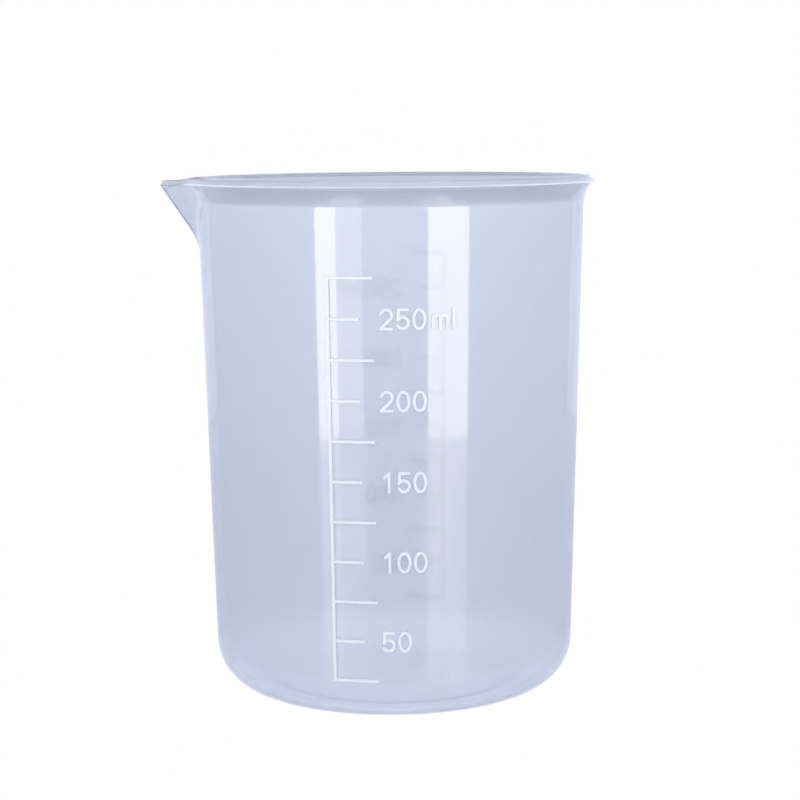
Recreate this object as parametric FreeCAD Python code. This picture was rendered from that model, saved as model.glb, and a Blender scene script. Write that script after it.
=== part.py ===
"""250 ml low-form beaker, injection moulded in natural polypropylene.

A drafted cylindrical vessel with a large corner radius at its base, a flared lip and a V spout at -X.
Two identical raised scales stand on the outside of the wall: one at -Y and one half a turn away at +Y.
Each scale is a vertical line with a mark every 25 ml, a number every 50 ml and the unit after the top number.
Origin: centre of the foot, on the surface that the beaker stands on. +Z is up. Millimetres and degrees.
"""

import FreeCAD, Part
import math
import os

from FreeCAD import Placement, Rotation, Vector

# ---- driving dimensions ----
BASE_RADIUS = 33.6  # outside of the wall, carried down to z = 0
DRAFT = 1.52  # each side, wider at the top
WALL = 1.1
CORNER_RADIUS = 9.0  # outside, between wall and underside
INNER_CORNER_RADIUS = 7.8
FLOOR_TOP = 1.6  # inside floor above the foot
FOOT_RADIUS = 23.8  # flat disc that the beaker stands on
FOOT_STEP = 0.25  # how far the disc stands out of the underside, with a 45 degree edge

FLARE_START = 91.0  # height where the wall starts to turn outwards
FLARE_RADIUS = 6.5
FLARE_ANGLE = 48.5
LIP_ROUND = 0.3

SPOUT_TIP = 43.3  # from the axis to the outside of the spout's ridge, at the lip
SPOUT_LIP = 95.9  # height of the spout's lip, just under the rim
SPOUT_ROOT = 84.3  # height where the ridge runs out into the wall
SPOUT_HALF_ANGLE = 50.0  # in plan, between the ridge and each flank
SPOUT_ROUND = 2.2  # outside of the ridge
SPOUT_BLEND = 5.0  # concave, between each flank and the rim
SPOUT_TAIL = 0.8  # the hidden ends of the spout's plan lie this far out along the lip's radius
LIP_RADIUS = 38.0  # outside of the lip, where the spout's flanks run into it

SCALE_START = -18.0  # azimuth of the vertical line's middle, from the middle of the scale
FIRST_MARK = 8.6  # height of the 25 ml mark
MARK_PITCH = 7.15
MARK_STEP_ML = 25
MARK_COUNT = 11
RELIEF = 0.32  # how far the scale stands out of the wall
LINE_WIDTH = 0.52
MARK_WIDTH = 0.48
SHORT_MARK = 5.3  # at the numbered steps
LONG_MARK = 7.7  # at the steps between
DIGIT_HEIGHT = 3.8
DIGIT_WIDTH = 2.45
DIGIT_PITCH = 2.85
STROKE = 0.5
NUMBER_START = -2.2  # arc length from the scale's middle to the first digit's left side
UNIT_START = 6.9

SIDES = {"front": 0.0, "rear": 180.0}  # azimuth of each scale's middle, from -Y

# ---- worked out from them ----
SLOPE = math.tan(math.radians(DRAFT))
AXIS = Vector(0, 0, 1)
ORIGIN = Vector(0, 0, 0)
FAR = 60.0  # past everything, for tools that cut


def wall_radius(z):
    """Outside of the drafted wall at height z."""
    return BASE_RADIUS + SLOPE * z


def polar(centre, radius, angle):
    """Point (r, z) at an angle in degrees round a centre (r, z)."""
    turn = math.radians(angle)
    return centre[0] + radius * math.cos(turn), centre[1] + radius * math.sin(turn)


def at(point):
    """A profile point (r, z) in the XZ plane."""
    return Vector(point[0], 0, point[1])


def line(a, b):
    return Part.LineSegment(at(a), at(b)).toShape()


def arc(centre, radius, start, end):
    """Profile arc from one angle to another, in degrees."""
    middle = polar(centre, radius, (start + end) / 2)
    ends = [at(polar(centre, radius, angle)) for angle in (start, end)]
    return Part.Arc(ends[0], at(middle), ends[1]).toShape()


def revolved(edges):
    """Solid of revolution about Z from profile edges in order."""
    return Part.Face(Part.Wire(edges)).revolve(ORIGIN, AXIS, 360)


def corner(radius, floor, offset):
    """Centre (r, z) of a corner arc that touches the floor and the wall line moved in by offset."""
    z = floor + radius
    r = wall_radius(z) - (radius + offset) / math.cos(math.radians(DRAFT))
    return r, z


def flare_centre():
    """Centre (r, z) shared by the lip's outer and inner arcs."""
    start = (wall_radius(FLARE_START), FLARE_START)
    return polar(start, FLARE_RADIUS, -DRAFT)


def lip_edges():
    """Outer flare, rounded end of the lip and inner flare, from outside to inside."""
    centre = flare_centre()
    inner = FLARE_RADIUS + WALL
    turn = math.degrees(math.asin(LIP_ROUND / (FLARE_RADIUS + LIP_ROUND)))
    low = polar(centre, FLARE_RADIUS + LIP_ROUND, 180 - FLARE_ANGLE + turn)
    back = math.degrees(math.asin(LIP_ROUND / (inner - LIP_ROUND)))
    high = polar(centre, inner - LIP_ROUND, 180 - FLARE_ANGLE + back)
    outer_end = 180 - FLARE_ANGLE + turn
    inner_end = 180 - FLARE_ANGLE + back
    face = 90 - FLARE_ANGLE  # direction that the lip's end looks in
    return [
        arc(centre, FLARE_RADIUS, 180 - DRAFT, outer_end),
        arc(low, LIP_ROUND, outer_end - 180, face),
        line(polar(low, LIP_ROUND, face), polar(high, LIP_ROUND, face)),
        arc(high, LIP_ROUND, face, inner_end),
        arc(centre, inner, inner_end, 180 - DRAFT),
    ]


def wall_end(radius, centre):
    """Top end of a corner arc, where it meets the drafted wall."""
    return polar(centre, radius, -DRAFT)


def shell():
    """The vessel without its spout: foot, corner, wall, flared lip, inside wall and floor."""
    foot = corner(CORNER_RADIUS, FOOT_STEP, 0)
    inside = corner(INNER_CORNER_RADIUS, FLOOR_TOP, WALL)
    flare = flare_centre()
    disc_edge = (FOOT_RADIUS + FOOT_STEP, FOOT_STEP)
    outside_top = polar(flare, FLARE_RADIUS, 180 - DRAFT)
    inside_top = polar(flare, FLARE_RADIUS + WALL, 180 - DRAFT)
    edges = [
        line((0, FLOOR_TOP), (0, 0)),
        line((0, 0), (FOOT_RADIUS, 0)),
        line((FOOT_RADIUS, 0), disc_edge),
        line(disc_edge, (foot[0], FOOT_STEP)),
        arc(foot, CORNER_RADIUS, -90, -DRAFT),
        line(wall_end(CORNER_RADIUS, foot), outside_top),
        *lip_edges(),
        line(inside_top, wall_end(INNER_CORNER_RADIUS, inside)),
        arc(inside, INNER_CORNER_RADIUS, -DRAFT, -90),
        line((inside[0], FLOOR_TOP), (0, FLOOR_TOP)),
    ]
    return revolved(edges)


def spout_outline(offset):
    """Plan of the spout at its lip, moved in by offset: rounded ridge, straight flanks, blends to the rim."""
    half = math.radians(SPOUT_HALF_ANGLE)
    along = Vector(math.cos(half), math.sin(half), 0)
    outward = Vector(-math.sin(half), math.cos(half), 0)
    ridge = Vector(SPOUT_ROUND - SPOUT_TIP, 0, 0)
    ridge_radius = SPOUT_ROUND - offset
    blend_radius = SPOUT_BLEND + offset
    flank = -ridge.x * math.sin(half) + ridge_radius  # distance of the flank from the axis
    far = math.sqrt((LIP_RADIUS + SPOUT_BLEND) ** 2 - (flank + blend_radius) ** 2)
    blend = outward * (flank + blend_radius) - along * far
    touch_ridge = ridge + outward * ridge_radius
    touch_blend = blend - outward * blend_radius
    touch_rim = blend * ((LIP_RADIUS - offset) / blend.Length)
    middle = (touch_blend - blend) + (touch_rim - blend)
    on_blend = blend + middle * (blend_radius / middle.Length)
    tail = touch_rim * SPOUT_TAIL
    points = [touch_ridge, touch_blend, on_blend, touch_rim, tail]
    near = [Vector(p.x, -p.y, 0) for p in points]
    tip = Vector(ridge.x - ridge_radius, 0, 0)
    edges = [
        Part.Arc(near[0], tip, points[0]),
        Part.LineSegment(points[0], points[1]),
        Part.Arc(points[1], points[2], points[3]),
        Part.LineSegment(points[3], points[4]),
        Part.LineSegment(points[4], near[4]),
        Part.LineSegment(near[4], near[3]),
        Part.Arc(near[3], near[2], near[1]),
        Part.LineSegment(near[1], near[0]),
    ]
    return Part.Face(Part.Wire([edge.toShape() for edge in edges]))


def spout_lean():
    """How far the spout's ridge moves out for each millimetre of height."""
    return (SPOUT_TIP - wall_radius(SPOUT_ROOT)) / (SPOUT_LIP - SPOUT_ROOT)


def spout_prism(offset, low, high):
    """The spout's plan carried along its leaning ridge between two heights."""
    lean = spout_lean()
    plan = spout_outline(offset)
    plan.translate(Vector(lean * (SPOUT_LIP - low), 0, low))
    return plan.extrude(Vector(-lean * (high - low), 0, high - low))


def cavity():
    """Everything inside the vessel, open at the top, for cutting the spout's sheet free."""
    inside = corner(INNER_CORNER_RADIUS, FLOOR_TOP, WALL)
    centre = flare_centre()
    inner = FLARE_RADIUS + WALL
    end = polar(centre, inner, 180 - FLARE_ANGLE)
    above = end[1] + CORNER_RADIUS
    inside_top = polar(centre, inner, 180 - DRAFT)
    edges = [
        line((0, above), (0, FLOOR_TOP)),
        line((0, FLOOR_TOP), (inside[0], FLOOR_TOP)),
        arc(inside, INNER_CORNER_RADIUS, -90, -DRAFT),
        line(wall_end(INNER_CORNER_RADIUS, inside), inside_top),
        arc(centre, inner, 180 - DRAFT, 180 - FLARE_ANGLE),
        line(end, (end[0], above)),
        line((end[0], above), (0, above)),
    ]
    return revolved(edges)


def vessel():
    """The whole moulding, with its spout, as one solid."""
    low = SPOUT_ROOT - SPOUT_BLEND
    sheet = spout_prism(0, low, SPOUT_LIP)
    sheet_in_plan = WALL * math.hypot(1, spout_lean() * math.sin(math.radians(SPOUT_HALF_ANGLE)))
    channel = spout_prism(sheet_in_plan, low, SPOUT_LIP + SPOUT_BLEND)
    space = cavity().fuse(channel)
    return shell().fuse(sheet).cut(space).removeSplitter()


def skin():
    """Thin layer over the wall and the top of the corner, as thick as the scale's relief."""
    foot = corner(CORNER_RADIUS, FOOT_STEP, 0)
    flare_low = (wall_radius(FLARE_START), FLARE_START)
    outer_low = polar(foot, CORNER_RADIUS + RELIEF, -45)
    outer_top = polar(flare_low, RELIEF, -DRAFT)
    inner_low = polar(foot, CORNER_RADIUS, -45)
    edges = [
        arc(foot, CORNER_RADIUS + RELIEF, -45, -DRAFT),
        line(wall_end(CORNER_RADIUS + RELIEF, foot), outer_top),
        line(outer_top, flare_low),
        line(flare_low, wall_end(CORNER_RADIUS, foot)),
        arc(foot, CORNER_RADIUS, -DRAFT, -45),
        line(inner_low, outer_low),
    ]
    return revolved(edges)


def sector(start, end, low, high):
    """Wedge of a cylinder between two azimuths in degrees, measured from -Y towards +X."""
    wedge = Part.makeCylinder(FAR, high - low, Vector(0, 0, low), AXIS, end - start)
    wedge.rotate(ORIGIN, AXIS, start - 90)
    return wedge


# ---- digits and letters, as strokes of an engraving cutter ----


def stroke(*edges):
    """Face of a stroke with round ends along edges in the glyph's plane."""
    path = Part.Wire(Part.__sortEdges__(list(edges)))
    return Part.Face(path.makeOffset2D(STROKE / 2, 0, False, False, False))


def straight(a, b):
    return Part.LineSegment(Vector(*a, 0), Vector(*b, 0)).toShape()


def upright_bar(middle, low, high):
    """Face of one upright stroke with round ends."""
    half = STROKE / 2
    right, left = middle + half, middle - half
    return Part.Face(
        Part.Wire(
            [
                straight((right, low), (right, high)),
                curve((middle, high), half, 0, 180),
                straight((left, high), (left, low)),
                curve((middle, low), half, 180, 360),
            ]
        )
    )


def curve(centre, radius, start, end):
    """Arc in the glyph's plane, from one angle to another."""
    points = [
        Vector(*polar(centre, radius, angle), 0) for angle in (start, (start + end) / 2, end)
    ]
    return Part.Arc(*points).toShape()


def zero():
    middle = Vector(DIGIT_WIDTH / 2, DIGIT_HEIGHT / 2, 0)
    outside, inside = [
        Part.Face(Part.Wire([Part.Ellipse(middle, middle.y - inset, middle.x - inset).toShape()]))
        for inset in (0, STROKE)
    ]
    ring = outside.cut(inside)
    ring.rotate(middle, AXIS, 90)
    return [ring]


def one():
    edge = STROKE / 2
    stem = DIGIT_WIDTH * 0.62
    top = DIGIT_HEIGHT - edge
    flag = (stem - DIGIT_WIDTH * 0.32, DIGIT_HEIGHT * 0.74)
    return [stroke(straight((stem, edge), (stem, top)), straight((stem, top), flag))]


def two():
    edge = STROKE / 2
    radius = DIGIT_WIDTH / 2 - edge
    centre = (DIGIT_WIDTH / 2, DIGIT_HEIGHT - edge - radius)
    neck = polar(centre, radius, -38)
    left = (edge, edge)
    bowl = curve(centre, radius, 165, -38)
    return [stroke(bowl, straight(neck, left), straight(left, (DIGIT_WIDTH - edge, edge)))]


def five():
    edge = STROKE / 2
    radius = DIGIT_WIDTH / 2 - edge
    centre = (DIGIT_WIDTH / 2, edge + radius * 1.05)
    top = DIGIT_HEIGHT - edge
    back = (DIGIT_WIDTH * 0.2, top)
    waist = polar(centre, radius, 148)
    return [
        stroke(
            straight((DIGIT_WIDTH - edge * 1.4, top), back),
            straight(back, waist),
        ),
        stroke(curve(centre, radius, 148, -152)),
    ]


def letter_m():
    edge = STROKE / 2
    arch = DIGIT_WIDTH * 0.26
    tall = DIGIT_HEIGHT * 0.72 - edge
    strokes = [upright_bar(edge, edge, tall)]
    for index in (0, 1):
        left = edge + 2 * arch * index
        centre = (left + arch, tall - arch)
        right = left + 2 * arch
        strokes.append(
            stroke(curve(centre, arch, 180, 0), straight((right, tall - arch), (right, edge)))
        )
    return strokes


def letter_l():
    edge = STROKE / 2
    return [upright_bar(edge, edge, DIGIT_HEIGHT - edge)]


GLYPHS = {"0": zero, "1": one, "2": two, "5": five, "m": letter_m, "l": letter_l}
ADVANCE = {"m": DIGIT_WIDTH * 0.26 * 4 + STROKE * 2.2}


def glyph_tool(letter, left, middle_z, radius):
    """Prism of one digit or letter, pushed out through the skin along its own radius."""
    faces = GLYPHS[letter]()
    flat = faces[0] if len(faces) == 1 else faces[0].fuse(faces[1:]).removeSplitter()
    centre = (flat.BoundBox.XMax + flat.BoundBox.XMin) / 2
    flat.translate(Vector(-centre, -DIGIT_HEIGHT / 2, 0))
    azimuth = math.degrees((left + centre) / radius)
    solid = flat.extrude(Vector(0, 0, FAR / 2))
    # glyph plane (x right, y up) to the wall: x along the wall, y to +Z, extruded outwards
    solid.Placement = Placement(Vector(0, -radius / 2, middle_z), Rotation(Vector(1, 0, 0), 90))
    solid.rotate(ORIGIN, AXIS, azimuth)
    return solid


def text_on(layer, text, start, z):
    """The solids of a piece of text on the skin, one for each digit or letter."""
    radius = wall_radius(z)
    solids, left = [], start
    for letter in text:
        solids += layer.common(glyph_tool(letter, left, z, radius)).Solids
        left += ADVANCE.get(letter, DIGIT_PITCH)
    return Part.makeCompound(solids)


def mark_height(index):
    return FIRST_MARK + MARK_PITCH * index


def scale_nodes(layer):
    """Name and shape of every piece of one scale, at -Y."""
    half_line = math.degrees(LINE_WIDTH / 2 / BASE_RADIUS)
    bottom = FIRST_MARK - MARK_WIDTH / 2
    top = mark_height(MARK_COUNT - 1) + MARK_WIDTH / 2
    pieces = {
        "scale_line": layer.common(
            sector(SCALE_START - half_line, SCALE_START + half_line, bottom, top)
        )
    }
    for index in range(MARK_COUNT):
        volume = MARK_STEP_ML * (index + 1)
        z = mark_height(index)
        numbered = index % 2 == 1
        length = SHORT_MARK if numbered else LONG_MARK
        start = SCALE_START + half_line
        end = start + math.degrees(length / wall_radius(z))
        tool = sector(start, end, z - MARK_WIDTH / 2, z + MARK_WIDTH / 2)
        pieces[f"mark_{volume:03d}"] = layer.common(tool)
        if numbered:
            pieces[f"number_{volume:03d}"] = text_on(layer, str(volume), NUMBER_START, z)
    last_number = mark_height(MARK_COUNT - 2)
    pieces["unit_ml"] = text_on(layer, "ml", UNIT_START, last_number)
    return pieces


def main():
    os.makedirs("parts", exist_ok=True)
    body = vessel()
    body.exportStep("parts/vessel.step")
    print("vessel", round(body.Volume), "mm3", body.isValid())
    layer = skin()
    pieces = scale_nodes(layer)
    for side, azimuth in SIDES.items():
        for name, shape in pieces.items():
            turned = shape.copy()
            turned.rotate(ORIGIN, AXIS, azimuth)
            turned.exportStep(f"parts/{side}_{name}.step")
            if side == "front":
                print(name, len(turned.Solids), round(turned.Volume, 3), turned.isValid())


main()
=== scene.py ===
"""250 ml polypropylene beaker on a white studio sweep, seen from the front of its scale and a little above.

The vessel is a fine turned mesh with its spout drawn out of the wall. The raised scales are the CAD nodes,
with softened edges. Everything is in metres, in the CAD frame: +Z up, -Y the front, -X the spout.
"""

import math

import bpy
from mathutils import Matrix, Vector

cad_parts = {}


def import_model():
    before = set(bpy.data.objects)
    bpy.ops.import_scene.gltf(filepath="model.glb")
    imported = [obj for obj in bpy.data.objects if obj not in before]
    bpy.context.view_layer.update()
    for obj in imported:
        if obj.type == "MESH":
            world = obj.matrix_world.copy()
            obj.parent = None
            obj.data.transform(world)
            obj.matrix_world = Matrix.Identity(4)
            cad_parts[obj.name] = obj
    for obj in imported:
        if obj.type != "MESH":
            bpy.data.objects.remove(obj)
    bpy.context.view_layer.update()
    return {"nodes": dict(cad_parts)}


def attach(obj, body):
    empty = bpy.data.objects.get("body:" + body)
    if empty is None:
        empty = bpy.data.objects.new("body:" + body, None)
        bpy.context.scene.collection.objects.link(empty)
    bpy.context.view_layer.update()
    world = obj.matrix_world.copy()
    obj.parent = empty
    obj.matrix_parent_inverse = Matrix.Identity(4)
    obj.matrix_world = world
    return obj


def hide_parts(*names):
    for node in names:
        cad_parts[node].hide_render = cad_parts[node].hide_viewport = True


MM = 0.001

# ---- vessel, in millimetres: the same moulding as the CAD, with a domed lip ----
BASE_RADIUS = 33.6
DRAFT = math.radians(1.52)
SLOPE = math.tan(DRAFT)  # how much the radius grows for each unit of height
WALL = 1.1
CORNER_RADIUS = 9.0
INNER_CORNER_RADIUS = 7.8
FLOOR_TOP = 1.6
FOOT_RADIUS = 23.8
FOOT_STEP = 0.25
FOOT_EDGE = 0.15  # rounding of the foot disc's edge
EMBED = 0.015  # the wall stands this far into the scale's inner faces, so no two faces coincide

FLARE_START = 91.3
FLARE_RADIUS = 6.5
FLARE_ANGLE = math.radians(46)
LIP_TIP = 38.15  # outermost ring of the lip
LIP_TIP_Z = 95.5
LIP_TOP = 37.25  # highest ring of the lip
LIP_TOP_Z = 96.42

SPOUT_TIP = 43.3
SPOUT_LIP = 95.9
SPOUT_ROOT = 84.3
SPOUT_HALF_ANGLE = math.radians(50)
SPOUT_ROUND = 2.2
SPOUT_SOFT = 1.8  # width of the hollow blend between spout and wall
SPOUT_DROOP = 0.45  # how far the spout's lip lies below the rim
SPOUT_FULL = 3.0  # how far the lip is drawn out where its droop is complete
SPOUT_START = SPOUT_ROOT - 3 * SPOUT_SOFT  # the wall is round below this height
MIN_FACING = 0.2  # the spout's flank counts only where it faces away from the axis by more than this cosine
# how far the spout's ridge moves out for each unit of height
SPOUT_LEAN = (SPOUT_TIP - BASE_RADIUS - SLOPE * SPOUT_ROOT) / (SPOUT_LIP - SPOUT_ROOT)
# the spout's wall measured level, which makes it WALL thick across its slope
SPOUT_SHEET = WALL * math.hypot(1, SPOUT_LEAN * math.sin(SPOUT_HALF_ANGLE))

FINE_STEP = 0.5  # degrees between columns across the spout
COARSE_STEP = 1.25  # degrees between columns elsewhere
FINE_REACH = 30.0  # degrees each side of the spout with the fine columns
# steps along the profile
FLAT_STEPS = 12
CORNER_STEPS = 24
WALL_STEPS = 40
OUTER_FLARE_STEPS = 14
INNER_FLARE_STEPS = 16
LIP_STEPS = 16
FOOT_EDGE_STEPS = 4
FOOT_FILLET_STEPS = 3

NATURAL = (0.93, 0.95, 0.985)  # colour of clear polypropylene
MILKY = (0.93, 0.97, 1.0)  # colour of the raised scale
THICK_LIP = (0.76, 0.79, 0.86)  # colour of the lip's rounded end
# transmission, roughness, strength of the waves, coat, share of light scattered inside
BODY_FINISH = (0.82, 0.105, 0.05, 1.0, 0.0)
LIP_FINISH = (0.5, 0.3, 0.03, 0.6, 0.0)
SCALE_FINISH = (0.36, 0.35, 0.03, 0.1, 0.1)
PLASTIC_IOR = 1.49
SCATTER_DEPTH = 0.0005
COAT_ROUGHNESS = 0.04
HAZE = (60, 4)  # scale and detail of the uneven gloss
HAZE_SPREAD = (0.8, 1.25)  # roughness goes from and to these shares of its own value
WAVES = (35, 2)  # scale and detail of the waves in the surface
WAVE_HEIGHT = 0.0002
SOFT_EDGE = 0.00018  # rounding of the raised scale's edges, in metres
BEVEL_STEPS = 4
SHARP_ANGLE = math.radians(40)  # edges sharper than this are rounded
PAINTED_SHADE_BAND = (92.0, 92.8, 95.6, 96.2)  # heights of the painted shade under the lip: it darkens the flare between these and clears again
PAINTED_FLARE_SHADE = 0.79  # painted shade: share of the plastic's own colour left in the middle of that band
PAINTED_SHADE_SPOUT_EDGE = 33.0  # the painted shade stays off the flare beyond this on the spout's side

# ---- camera: metres and radians ----
CAMERA_DISTANCE = 0.3921
CAMERA_HEIGHT = 0.1059
CAMERA_PITCH = 0.1309
CAMERA_YAW = -0.0037
CAMERA_ROLL = -0.0079
FOCAL_LENGTH = 93.65  # in millimetres, on the sensor below
SENSOR_WIDTH = 36

# ---- studio: distances in metres ----
MAX_BOUNCES = 24  # light runs a long way inside the clear wall
GLOSSY_BOUNCES = 16
TRANSMISSION_BOUNCES = 20
STUDIO_TONE = (0.755, 0.81, 1.0)  # the room in reflections and through the wall
CEILING = 0.9  # share of that tone overhead
CEILING_RISE = (0.05, 0.6)  # upward parts of a direction between which the ceiling comes in
SOFT_BOX_COLOUR = (1.0, 0.94, 0.8)
REFLECTOR_COLOUR = (0.82, 0.91, 1.0)
LIGHT_TOP = 0.4  # every light stands on the floor and ends here
# name, azimuth from the front in degrees, distance, width, radiance
SOFT_BOXES = (
    ("left soft box", -36.4, 0.29, 0.06, 3.8),
    ("left dim soft box", -23.2, 0.29, 0.074, 1.25),
    ("right soft box", 31.7, 0.29, 0.12, 3.3),
)
REAR_AZIMUTH = 150.0
REAR_FILL = (0.35, 0.2, 1.5)  # distance, width, radiance
REAR_REFLECTOR = (0.36, 0.24, 0.15)
FLOOR_REACH = 3.0
FLOOR_DROP = 0.00002  # keeps the floor clear of the foot's face
FLOOR_ROUGHNESS = 0.18
# distance from the beaker's axis and brightness of the sweep there: a painted shadow ring round the beaker,
# seen in reflections and through the wall
FLOOR_PAINTED_SHADOW_RINGS = ((0.0, 1.0), (0.045, 1.0), (0.065, 0.76), (0.2, 0.76), (0.4, 0.87), (0.8, 1.0))
BACKDROP_WHITE = (1.0, 1.0, 1.0)
ROOM_GREY = (0.72, 0.745, 0.79)  # backdrop away from the sweep, which stands on the +Y side
SWEEP_SIDE = (0.0, 0.72)  # +Y part of a direction: below the first it is the room, above the second the sweep
SWEEP_POOL = (0.15, 0.36)  # distances from the axis between which the room's grey comes in


def wall_radius(z):
    """Outer radius of the drafted wall at a height."""
    return BASE_RADIUS + SLOPE * z


def arc_points(centre, radius, start, end, count):
    """Points (r, z) along an arc, both ends included. Angles in radians."""
    points = []
    for i in range(count + 1):
        turn = start + (end - start) * i / count
        points.append((centre[0] + radius * math.cos(turn), centre[1] + radius * math.sin(turn)))
    return points


def corner_centre(radius, floor, offset):
    """Centre (r, z) of a corner arc that ends on a floor and on the wall moved in by offset."""
    z = floor + radius
    return wall_radius(z) - (radius + offset) / math.cos(DRAFT), z


def straight_points(a, b, count):
    """Points between a and b, neither end included."""
    return [
        (a[0] + (b[0] - a[0]) * i / count, a[1] + (b[1] - a[1]) * i / count) for i in range(1, count)
    ]


def vessel_profile():
    """Points (r, z, inset) of the moulding's half section, and the numbers of the rings in its lip.

    The points go from the foot's middle up the outside, over the lip and down to the floor's middle. inset is
    how far a point lies inside the outer surface, in plan: the spout is moved in by the same amount.
    """
    foot = corner_centre(CORNER_RADIUS, FOOT_STEP, -EMBED)
    inside = corner_centre(INNER_CORNER_RADIUS, FLOOR_TOP, WALL)
    flare = (
        wall_radius(FLARE_START) + EMBED + FLARE_RADIUS * math.cos(DRAFT),
        FLARE_START - FLARE_RADIUS * math.sin(DRAFT),
    )
    flare_end = math.pi - FLARE_ANGLE
    outer_flare = arc_points(flare, FLARE_RADIUS, math.pi - DRAFT, flare_end, OUTER_FLARE_STEPS)
    inner_radius = FLARE_RADIUS + WALL + EMBED
    inner_flare = arc_points(flare, inner_radius, flare_end, math.pi - DRAFT, INNER_FLARE_STEPS)
    lip = [lip_curve(outer_flare[-1], inner_flare[0], i / LIP_STEPS) for i in range(1, LIP_STEPS)]

    outer = [(0.0, 0.0)]
    outer += straight_points((0.0, 0.0), (FOOT_RADIUS - FOOT_EDGE, 0.0), FLAT_STEPS)
    outer += foot_edge()
    outer += arc_points(foot, CORNER_RADIUS, -math.pi / 2, -DRAFT, CORNER_STEPS)
    outer += straight_points(outer[-1], outer_flare[0], WALL_STEPS)
    outer += outer_flare

    inner = list(inner_flare)
    corner = arc_points(inside, INNER_CORNER_RADIUS, -DRAFT, -math.pi / 2, CORNER_STEPS)
    inner += straight_points(inner[-1], corner[0], WALL_STEPS)
    inner += corner
    inner += straight_points(corner[-1], (0.0, FLOOR_TOP), FLAT_STEPS)
    inner.append((0.0, FLOOR_TOP))

    profile = [(r, z, 0.0) for r, z in outer]
    profile += [(r, z, min(SPOUT_SHEET, max(0.0, LIP_TIP - r))) for r, z in lip]
    profile += [(r, z, SPOUT_SHEET) for r, z in inner]
    lip_rings = range(len(outer), len(outer) + len(lip))
    return profile, lip_rings


def foot_edge():
    """Rounded edge of the foot disc, and the fillet from it to the underside."""
    fillet = FOOT_STEP - FOOT_EDGE
    edge_centre = (FOOT_RADIUS - FOOT_EDGE, FOOT_EDGE)
    edge = arc_points(edge_centre, FOOT_EDGE, -math.pi / 2, 0, FOOT_EDGE_STEPS)
    fillet_centre = (FOOT_RADIUS + fillet, FOOT_EDGE)
    return edge + arc_points(fillet_centre, fillet, math.pi, math.pi / 2, FOOT_FILLET_STEPS)[1:]


def lip_curve(start, end, t):
    """Domed end of the lip: a smooth curve through its outermost and highest rings."""
    knots = [start, (LIP_TIP, LIP_TIP_Z), (LIP_TOP, LIP_TOP_Z), end]
    span = t * (len(knots) - 1)
    i = min(int(span), len(knots) - 2)
    u = span - i
    near = [knots[max(i - 1, 0)], knots[i], knots[i + 1], knots[min(i + 2, len(knots) - 1)]]
    weights = (
        -0.5 * u + u * u - 0.5 * u**3,
        1 - 2.5 * u * u + 1.5 * u**3,
        0.5 * u + 2 * u * u - 1.5 * u**3,
        -0.5 * u * u + 0.5 * u**3,
    )
    return tuple(sum(w * knot[axis] for w, knot in zip(weights, near)) for axis in (0, 1))


def spout_radius(angle, z, inset):
    """Distance from the axis to the spout's V, at an angle from -X and a height, moved in by inset."""
    ridge = SPOUT_TIP - SPOUT_ROUND - SPOUT_LEAN * (SPOUT_LIP - z)
    radius = SPOUT_ROUND - inset
    turn = abs(angle)
    to_flank = math.pi / 2 - SPOUT_HALF_ANGLE
    touch = (ridge + radius * math.cos(to_flank), radius * math.sin(to_flank))
    if ridge > 0 and turn < math.atan2(touch[1], touch[0]):
        across = ridge * math.sin(turn)
        return ridge * math.cos(turn) + math.sqrt(radius * radius - across * across)
    flank = ridge * math.sin(SPOUT_HALF_ANGLE) + radius
    facing = math.cos(turn - to_flank)
    return flank / facing if facing > MIN_FACING else 0.0


def soft_max(a, b, width):
    """The larger of a and b, blended over width where they are close."""
    near = max(width - abs(a - b), 0.0) / width
    return max(a, b) + near * near * width / 4


def column_angles():
    """Azimuths from -X, in degrees, closer together across the spout."""
    fine = [i * FINE_STEP for i in range(int(-FINE_REACH / FINE_STEP), int(FINE_REACH / FINE_STEP) + 1)]
    count = round((360 - 2 * FINE_REACH) / COARSE_STEP)
    coarse = [FINE_REACH + (360 - 2 * FINE_REACH) * i / count for i in range(1, count)]
    return fine + coarse


def vessel_point(r, z, inset, angle):
    """A profile point at an azimuth from -X, drawn out where the spout is."""
    signed = (angle + math.pi) % (2 * math.pi) - math.pi
    out = r
    if z > SPOUT_START and abs(signed) < math.radians(FINE_REACH):
        spout = spout_radius(signed, z, inset)
        out = soft_max(r, spout, SPOUT_SOFT)
        drawn = min(1.0, max(0.0, (out - r) / SPOUT_FULL))
        high = min(1.0, max(0.0, (z - SPOUT_ROOT) / (SPOUT_LIP - SPOUT_ROOT)))
        z -= SPOUT_DROOP * high * drawn * drawn * (3 - 2 * drawn)
    return Vector((-out * math.cos(angle), -out * math.sin(angle), z)) * MM


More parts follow.
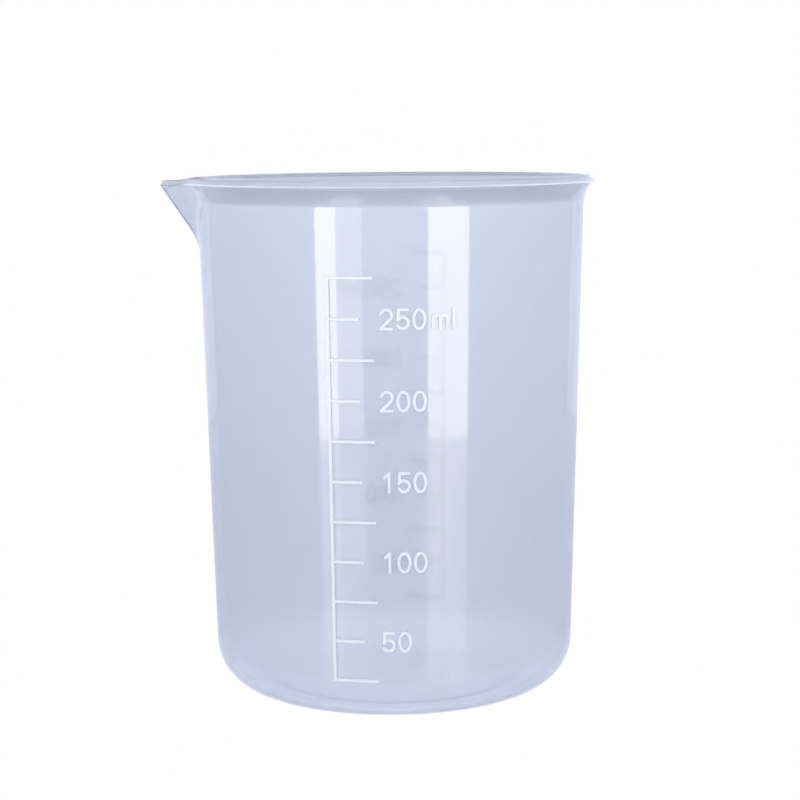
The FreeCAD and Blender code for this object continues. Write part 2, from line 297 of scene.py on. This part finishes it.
def build_vessel(wall_material, lip_material):
    """Closed mesh of the whole moulding."""
    profile, lip_rings = vessel_profile()
    angles = [math.radians(a) for a in column_angles()]
    columns = len(angles)
    ring_points = profile[1:-1]
    vertices = [Vector((0, 0, profile[0][1])) * MM]
    for r, z, inset in ring_points:
        vertices += [vessel_point(r, z, inset, angle) for angle in angles]
    vertices.append(Vector((0, 0, profile[-1][1])) * MM)
    last = len(vertices) - 1

    def at(ring, column):
        return 1 + ring * columns + column % columns

    faces = []
    for column in range(columns):
        faces.append((0, at(0, column + 1), at(0, column)))
        for ring in range(len(ring_points) - 1):
            faces.append(
                (at(ring, column), at(ring, column + 1), at(ring + 1, column + 1), at(ring + 1, column))
            )
        end = len(ring_points) - 1
        faces.append((at(end, column), at(end, column + 1), last))
    mesh = bpy.data.meshes.new("vessel_wall")
    mesh.from_pydata(vertices, [], faces)
    mesh.validate()
    mesh.polygons.foreach_set("use_smooth", [True] * len(mesh.polygons))
    vessel = bpy.data.objects.new("vessel_wall", mesh)
    bpy.context.scene.collection.objects.link(vessel)
    give(vessel, wall_material, lip_material)
    for polygon in mesh.polygons:
        rings = [(index - 1) // columns + 1 for index in polygon.vertices]
        polygon.material_index = int(min(rings) in lip_rings)
    return vessel


# ---- materials ----


def new_material(name):
    """A material with its nodes, links and Principled shader."""
    material = bpy.data.materials.new(name)
    material.use_nodes = True
    nodes = material.node_tree.nodes
    return material, nodes, material.node_tree.links, nodes["Principled BSDF"]


def polypropylene(name, tint, finish):
    """Natural polypropylene: glossy skin, hazy body, faint waves from the mould's polish.

    finish holds the values that BODY_FINISH has, in its order.
    """
    transmission, roughness, bump, coat, milk = finish
    material, nodes, links, shader = new_material(name)
    shader.inputs["Base Color"].default_value = (*tint, 1)
    shader.inputs["Transmission Weight"].default_value = transmission
    shader.inputs["IOR"].default_value = PLASTIC_IOR
    shader.inputs["Subsurface Weight"].default_value = milk
    shader.inputs["Subsurface Radius"].default_value = (1, 1, 1)
    shader.inputs["Subsurface Scale"].default_value = SCATTER_DEPTH
    shader.inputs["Coat Weight"].default_value = coat
    shader.inputs["Coat Roughness"].default_value = COAT_ROUGHNESS
    place = nodes.new("ShaderNodeTexCoord")
    haze = nodes.new("ShaderNodeTexNoise")
    haze.inputs["Scale"].default_value = HAZE[0]
    haze.inputs["Detail"].default_value = HAZE[1]
    links.new(place.outputs["Object"], haze.inputs["Vector"])
    spread = nodes.new("ShaderNodeMapRange")
    spread.inputs["To Min"].default_value = roughness * HAZE_SPREAD[0]
    spread.inputs["To Max"].default_value = roughness * HAZE_SPREAD[1]
    links.new(haze.outputs["Fac"], spread.inputs["Value"])
    links.new(spread.outputs["Result"], shader.inputs["Roughness"])
    waves = nodes.new("ShaderNodeTexNoise")
    waves.inputs["Scale"].default_value = WAVES[0]
    waves.inputs["Detail"].default_value = WAVES[1]
    links.new(place.outputs["Object"], waves.inputs["Vector"])
    relief = nodes.new("ShaderNodeBump")
    relief.inputs["Strength"].default_value = bump
    relief.inputs["Distance"].default_value = WAVE_HEIGHT
    links.new(waves.outputs["Fac"], relief.inputs["Height"])
    links.new(relief.outputs["Normal"], shader.inputs["Normal"])
    return material


def paint_flare_shade(material, tint):
    """Paints shade into the colour where the wall turns outwards under the lip, but not on the spout."""
    nodes, links = material.node_tree.nodes, material.node_tree.links
    place = nodes.new("ShaderNodeTexCoord")
    split = nodes.new("ShaderNodeSeparateXYZ")
    links.new(place.outputs["Object"], split.inputs["Vector"])
    height = nodes.new("ShaderNodeMapRange")
    height.inputs["From Min"].default_value = PAINTED_SHADE_BAND[0] * MM
    height.inputs["From Max"].default_value = PAINTED_SHADE_BAND[-1] * MM
    links.new(split.outputs["Z"], height.inputs["Value"])
    # painted shade: this ramp darkens the plastic's colour across the flare band
    painted_shade_ramp = nodes.new("ShaderNodeValToRGB")
    links.new(height.outputs["Result"], painted_shade_ramp.inputs["Fac"])
    span = PAINTED_SHADE_BAND[-1] - PAINTED_SHADE_BAND[0]
    for level in PAINTED_SHADE_BAND[1:-1]:
        painted_shade_ramp.color_ramp.elements.new((level - PAINTED_SHADE_BAND[0]) / span)
    for element, shade in zip(painted_shade_ramp.color_ramp.elements, (1.0, PAINTED_FLARE_SHADE, PAINTED_FLARE_SHADE, 1.0)):
        element.color = (*(c * shade for c in tint), 1)
    spout = nodes.new("ShaderNodeMapRange")
    spout.interpolation_type = "SMOOTHSTEP"
    spout.inputs["From Min"].default_value = -PAINTED_SHADE_SPOUT_EDGE * MM
    spout.inputs["From Max"].default_value = -(PAINTED_SHADE_SPOUT_EDGE + SPOUT_SOFT) * MM
    links.new(split.outputs["X"], spout.inputs["Value"])
    colour = nodes.new("ShaderNodeMix")
    colour.data_type = "RGBA"
    colour.inputs["B"].default_value = (*tint, 1)
    links.new(spout.outputs["Result"], colour.inputs["Factor"])
    links.new(painted_shade_ramp.outputs["Color"], colour.inputs["A"])
    links.new(colour.outputs["Result"], nodes["Principled BSDF"].inputs["Base Color"])


def give(piece, *materials):
    """Fills the piece's material slots, in order."""
    piece.data.materials.clear()
    for material in materials:
        piece.data.materials.append(material)


def soften(piece, width):
    """Rounds the sharp edges of a CAD node by a modifier."""
    bevel = piece.modifiers.new("soft edges", "BEVEL")
    bevel.width = width
    bevel.segments = BEVEL_STEPS
    bevel.limit_method = "ANGLE"
    bevel.angle_limit = SHARP_ANGLE


# ---- studio ----


def room_share(nodes, links, direction):
    """Socket that is 0 towards the sweep and 1 towards the rest of the room."""
    split = nodes.new("ShaderNodeSeparateXYZ")
    links.new(direction, split.inputs["Vector"])
    share = nodes.new("ShaderNodeMapRange")
    share.interpolation_type = "SMOOTHSTEP"
    share.inputs["From Min"].default_value = SWEEP_SIDE[1]
    share.inputs["From Max"].default_value = SWEEP_SIDE[0]
    links.new(split.outputs["Y"], share.inputs["Value"])
    return share.outputs["Result"]


def backdrop_colour(nodes, links, share):
    """White where share is 0, and the room's pale grey where it is 1."""
    colour = nodes.new("ShaderNodeMix")
    colour.data_type = "RGBA"
    colour.inputs["A"].default_value = (*BACKDROP_WHITE, 1)
    colour.inputs["B"].default_value = (*ROOM_GREY, 1)
    links.new(share, colour.inputs["Factor"])
    return colour.outputs["Result"]


def floor_seen(nodes, links, place, distance):
    """Colour of the floor to the camera: white round the beaker, and the room's grey far out in front."""
    outward = nodes.new("ShaderNodeVectorMath")
    outward.operation = "NORMALIZE"
    links.new(place.outputs["Object"], outward.inputs[0])
    pool = nodes.new("ShaderNodeMapRange")
    pool.interpolation_type = "SMOOTHSTEP"
    pool.inputs["From Min"].default_value = SWEEP_POOL[0]
    pool.inputs["From Max"].default_value = SWEEP_POOL[1]
    links.new(distance.outputs["Value"], pool.inputs["Value"])
    share = nodes.new("ShaderNodeMath")
    share.operation = "MULTIPLY"
    links.new(pool.outputs["Result"], share.inputs[0])
    links.new(room_share(nodes, links, outward.outputs["Vector"]), share.inputs[1])
    return backdrop_colour(nodes, links, share.outputs["Value"])


def floor_reflected(nodes, links, distance):
    """Shader of the floor in reflections and through the wall: the studio's tone with a painted shadow ring
    round the beaker, and a polish.
    """
    reach = FLOOR_PAINTED_SHADOW_RINGS[-1][0]
    span = nodes.new("ShaderNodeMapRange")
    span.inputs["From Max"].default_value = reach
    links.new(distance.outputs["Value"], span.inputs["Value"])
    # painted shadow: the floor's glow is darker in a ring round the beaker
    rings = nodes.new("ShaderNodeValToRGB")
    links.new(span.outputs["Result"], rings.inputs["Fac"])
    elements = rings.color_ramp.elements
    for ring_distance, _ in FLOOR_PAINTED_SHADOW_RINGS[1:-1]:
        elements.new(ring_distance / reach)
    for element, (ring_distance, level) in zip(elements, FLOOR_PAINTED_SHADOW_RINGS):
        element.position = ring_distance / reach
        element.color = (*(c * level for c in STUDIO_TONE), 1)
    tone = nodes.new("ShaderNodeEmission")
    links.new(rings.outputs["Color"], tone.inputs["Color"])
    polish = nodes.new("ShaderNodeBsdfGlossy")
    polish.inputs["Roughness"].default_value = FLOOR_ROUGHNESS
    grazing = nodes.new("ShaderNodeFresnel")
    glow = nodes.new("ShaderNodeMixShader")
    links.new(grazing.outputs["Fac"], glow.inputs["Fac"])
    links.new(tone.outputs["Emission"], glow.inputs[1])
    links.new(polish.outputs["BSDF"], glow.inputs[2])
    return glow.outputs["Shader"]


def white_floor():
    """The pale sweep: white to the camera, and the studio's cool tone with a painted shadow ring in
    reflections and through the wall.
    """
    mesh = bpy.data.meshes.new("floor")
    corners = [(x * FLOOR_REACH, y * FLOOR_REACH, 0) for x, y in ((-1, -1), (1, -1), (1, 1), (-1, 1))]
    mesh.from_pydata(corners, [], [(0, 1, 2, 3)])
    floor = bpy.data.objects.new("floor", mesh)
    bpy.context.scene.collection.objects.link(floor)
    floor.location.z = -FLOOR_DROP
    material, nodes, links, shader = new_material("white sweep")
    place = nodes.new("ShaderNodeTexCoord")
    distance = nodes.new("ShaderNodeVectorMath")
    distance.operation = "LENGTH"
    links.new(place.outputs["Object"], distance.inputs[0])
    shader.inputs["Base Color"].default_value = (0, 0, 0, 1)
    shader.inputs["Specular IOR Level"].default_value = 0
    shader.inputs["Emission Strength"].default_value = 1
    links.new(floor_seen(nodes, links, place, distance), shader.inputs["Emission Color"])
    path = nodes.new("ShaderNodeLightPath")
    mix = nodes.new("ShaderNodeMixShader")
    links.new(path.outputs["Is Camera Ray"], mix.inputs["Fac"])
    links.new(floor_reflected(nodes, links, distance), mix.inputs[1])
    links.new(shader.outputs["BSDF"], mix.inputs[2])
    links.new(mix.outputs["Shader"], nodes["Material Output"].inputs["Surface"])
    give(floor, material)


def strip_light(name, azimuth, distance, width, radiance, colour=SOFT_BOX_COLOUR):
    """Upright soft box that stands on the floor at an azimuth from the front, and faces the beaker.

    It shows in reflections, but not to the camera and not through the wall.
    """
    data = bpy.data.lights.new(name, "AREA")
    data.shape = "RECTANGLE"
    data.size = width
    data.size_y = LIGHT_TOP
    data.energy = radiance * math.pi * width * LIGHT_TOP
    data.color = colour
    light = bpy.data.objects.new(name, data)
    turn = math.radians(azimuth)
    away = Vector((math.sin(turn), -math.cos(turn), 0))
    light.location = away * distance + Vector((0, 0, LIGHT_TOP / 2))
    light.rotation_euler = away.to_track_quat("Z", "Y").to_euler()
    light.visible_camera = False
    light.visible_transmission = False
    bpy.context.scene.collection.objects.link(light)
    return light


def studio_world():
    """White behind the beaker; reflections and the wall see a bluish room that is darker overhead."""
    world = bpy.data.worlds.new("studio")
    world.use_nodes = True
    nodes, links = world.node_tree.nodes, world.node_tree.links
    place = nodes.new("ShaderNodeTexCoord")
    split = nodes.new("ShaderNodeSeparateXYZ")
    links.new(place.outputs["Generated"], split.inputs["Vector"])
    height = nodes.new("ShaderNodeMapRange")
    height.interpolation_type = "SMOOTHSTEP"
    height.inputs["From Min"].default_value = CEILING_RISE[0]
    height.inputs["From Max"].default_value = CEILING_RISE[1]
    links.new(split.outputs["Z"], height.inputs["Value"])
    room = nodes.new("ShaderNodeMix")
    room.data_type = "RGBA"
    room.inputs["A"].default_value = (*STUDIO_TONE, 1)
    room.inputs["B"].default_value = (*(c * CEILING for c in STUDIO_TONE), 1)
    links.new(height.outputs["Result"], room.inputs["Factor"])
    path = nodes.new("ShaderNodeLightPath")
    seen = nodes.new("ShaderNodeMix")
    seen.data_type = "RGBA"
    beyond = backdrop_colour(nodes, links, room_share(nodes, links, place.outputs["Generated"]))
    links.new(beyond, seen.inputs["B"])
    links.new(path.outputs["Is Camera Ray"], seen.inputs["Factor"])
    links.new(room.outputs["Result"], seen.inputs["A"])
    links.new(seen.outputs["Result"], nodes["Background"].inputs["Color"])
    bpy.context.scene.world = world


def camera():
    """Camera in front of the scale and just above the rim, pitched down, with a small yaw and roll."""
    cos_pitch, sin_pitch = math.cos(CAMERA_PITCH), math.sin(CAMERA_PITCH)
    cos_yaw, sin_yaw = math.cos(CAMERA_YAW), math.sin(CAMERA_YAW)
    cos_roll, sin_roll = math.cos(CAMERA_ROLL), math.sin(CAMERA_ROLL)
    turn_z = Matrix(((cos_yaw, sin_yaw, 0), (-sin_yaw, cos_yaw, 0), (0, 0, 1)))
    turn_x = Matrix(((1, 0, 0), (0, cos_pitch, -sin_pitch), (0, sin_pitch, cos_pitch)))
    turn_y = Matrix(((cos_roll, 0, sin_roll), (0, 1, 0), (-sin_roll, 0, cos_roll)))
    right, forward, up = turn_y @ turn_x @ turn_z
    data = bpy.data.cameras.new("camera")
    data.lens = FOCAL_LENGTH
    data.sensor_width = SENSOR_WIDTH
    eye = bpy.data.objects.new("camera", data)
    place = Matrix((right, up, -forward)).transposed().to_4x4()
    place.translation = (0, -CAMERA_DISTANCE, CAMERA_HEIGHT)
    eye.matrix_world = place
    bpy.context.scene.collection.objects.link(eye)
    bpy.context.scene.camera = eye


def main():
    """Finishes the CAD nodes, adds the vessel, the studio and the camera."""
    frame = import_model()

    body = polypropylene("natural polypropylene", NATURAL, BODY_FINISH)
    # painted shade: a darker band under the lip is painted into the body's colour
    paint_flare_shade(body, NATURAL)
    lip = polypropylene("thick lip", THICK_LIP, LIP_FINISH)
    scale = polypropylene("raised scale", MILKY, SCALE_FINISH)

    vessel = build_vessel(body, lip)
    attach(vessel, "root")
    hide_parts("vessel")

    for name, node in frame["nodes"].items():
        if name != "vessel":
            give(node, scale)
            soften(node, SOFT_EDGE)

    white_floor()
    studio_world()
    for name, azimuth, distance, width, radiance in SOFT_BOXES:
        strip_light(name, azimuth, distance, width, radiance)
    for side in (-1, 1):
        fill = strip_light("rear fill", side * REAR_AZIMUTH, *REAR_FILL)
        fill.visible_glossy = False  # it only lights the milky part of the wall
        strip_light("rear reflector", side * REAR_AZIMUTH, *REAR_REFLECTOR, REFLECTOR_COLOUR)
    camera()
    scene = bpy.context.scene
    scene.view_settings.view_transform = "Standard"
    scene.cycles.max_bounces = MAX_BOUNCES
    scene.cycles.glossy_bounces = GLOSSY_BOUNCES
    scene.cycles.transmission_bounces = TRANSMISSION_BOUNCES


main()
